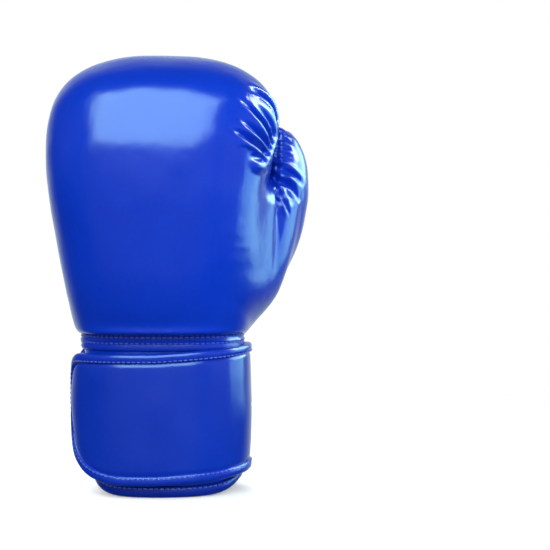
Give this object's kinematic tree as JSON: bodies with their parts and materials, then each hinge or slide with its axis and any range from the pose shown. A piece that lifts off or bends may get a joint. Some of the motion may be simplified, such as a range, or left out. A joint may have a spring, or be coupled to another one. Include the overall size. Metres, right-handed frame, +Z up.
{
  "type": "boxing glove",
  "caption": "Padded left-hand boxing glove with a curled fist, an attached thumb, a slit wrist and a wide hook-and-loop wrist strap that wraps round the cuff.",
  "frame": {"origin": "centre of the bounding box's foot, on the floor the cuff's rim stands on", "axes": "+Z up to the knuckles, -Y out of the back of the hand, +X to the thumb side"},
  "size_m": [0.1715, 0.14, 0.28],
  "materials": {
    "blue_leather": "gloss",
    "blue_leather_dark": "gloss",
    "binding": "gloss",
    "foam": "matte",
    "lining": "matte",
    "hook": "matte",
    "loop": "matte",
    "elastic": "matte",
    "piping": "gloss",
    "eyelet": "polished"
  },
  "bodies": {
    "glove": {"back_panel": "blue_leather", "cuff_back_foam": "foam", "cuff_back_leather": "blue_leather", "cuff_back_lining": "lining", "cuff_back_rim": "binding", "eyelet_1": "eyelet", "eyelet_2": "eyelet", "eyelet_3": "eyelet", "finger_edge_strip": "blue_leather", "finger_foam": "foam", "grip_bar": "foam", "grip_panel": "blue_leather_dark", "hand_lining": "lining", "inner_back_foam": "foam", "loop_panel": "loop", "neck_welt": "binding", "outer_back_foam": "foam", "palm_foam": "foam", "palm_panel": "blue_leather_dark", "palm_seam_strip": "binding", "pinky_side_panel": "blue_leather", "slit_binding": "binding", "thumb_foam": "foam", "thumb_inner_panel": "blue_leather_dark", "thumb_lining": "lining", "thumb_outer_panel": "blue_leather", "thumb_piping": "piping", "thumb_side_panel": "blue_leather", "thumb_tip_panel": "blue_leather", "wrist_arch": "blue_leather_dark", "wrist_tab_pinky": "blue_leather_dark", "wrist_tab_thumb": "blue_leather_dark"},
    "thumb_flap": {"thumb_flap_foam": "foam", "thumb_flap_leather": "blue_leather", "thumb_flap_lining": "lining", "thumb_flap_rim": "binding"},
    "pinky_flap": {"pinky_flap_foam": "foam", "pinky_flap_leather": "blue_leather", "pinky_flap_lining": "lining", "pinky_flap_rim": "binding", "strap_anchor_backing": "elastic", "strap_anchor_cover": "blue_leather", "strap_anchor_foot_binding": "binding", "strap_anchor_padding": "foam", "strap_anchor_patch": "blue_leather_dark", "strap_anchor_top_binding": "binding"},
    "strap_palm": {"strap_palm_backing": "elastic", "strap_palm_cover": "blue_leather", "strap_palm_foot_binding": "binding", "strap_palm_padding": "foam", "strap_palm_top_binding": "binding", "strap_wrap_cover": "blue_leather"},
    "strap_back": {"hook_tape": "hook", "strap_back_binding": "binding", "strap_back_cover": "blue_leather", "strap_back_padding": "foam"}
  },
  "joints": [
    {"name": "pinky_flap_part", "type": "hinge", "parent": "glove", "child": "pinky_flap", "pos_m": [-0.05844, -0.00008, 0.047], "axis": [0, 0, 1], "range_deg": [0, 10]},
    {"name": "thumb_flap_part", "type": "hinge", "parent": "glove", "child": "thumb_flap", "pos_m": [0.04162, -0.00007, 0.047], "axis": [0, 0, 1], "range_deg": [-10, 0]},
    {"name": "strap_unwrap", "type": "hinge", "parent": "pinky_flap", "child": "strap_palm", "pos_m": [-0.0404, 0.0361, 0.0515], "axis": [0, 0, 1], "range_deg": [0, 40]},
    {"name": "strap_open", "type": "hinge", "parent": "strap_palm", "child": "strap_back", "pos_m": [0.0475, -0.004, 0.0515], "axis": [0, 0, 1], "range_deg": [0, 130]}
  ],
  "couplings": [
    {"joint": "strap_unwrap", "follows": "strap_open", "ratio": 0.2},
    {"joint": "pinky_flap_part", "follows": "strap_open", "ratio": 0.06},
    {"joint": "thumb_flap_part", "follows": "strap_open", "ratio": -0.06}
  ]
}
